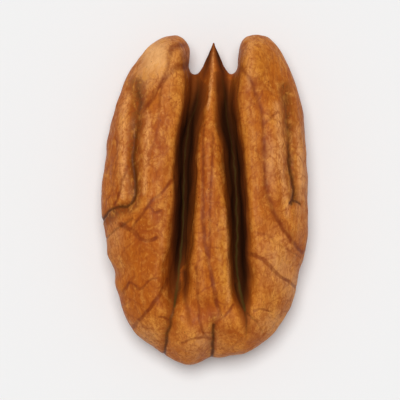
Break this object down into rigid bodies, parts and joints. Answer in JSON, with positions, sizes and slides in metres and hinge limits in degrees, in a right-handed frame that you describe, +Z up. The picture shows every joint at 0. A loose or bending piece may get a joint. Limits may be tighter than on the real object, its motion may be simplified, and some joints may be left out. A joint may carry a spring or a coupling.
{
  "type": "pecan half",
  "caption": "Half of a shelled pecan kernel: oval, with deep lengthwise grooves beside a central ridge that ends in a point between rounded lobes, lying on its hollowed inner face.",
  "frame": {"origin": "middle of the bounding box in plan, on the surface that the half lies on", "axes": "+Y along the kernel towards the pointed tip between the lobes, which is the top of the picture; +X to the right seen from above, which is the picture's right; +Z up out of the grooved back"},
  "size_m": [0.0188, 0.03, 0.0084],
  "materials": {
    "kernel_skin": "waxy tan-brown seed coat, slightly oily, satin"
  },
  "bodies": {
    "root": {"kernel_half": "kernel_skin"}
  },
  "joints": []
}
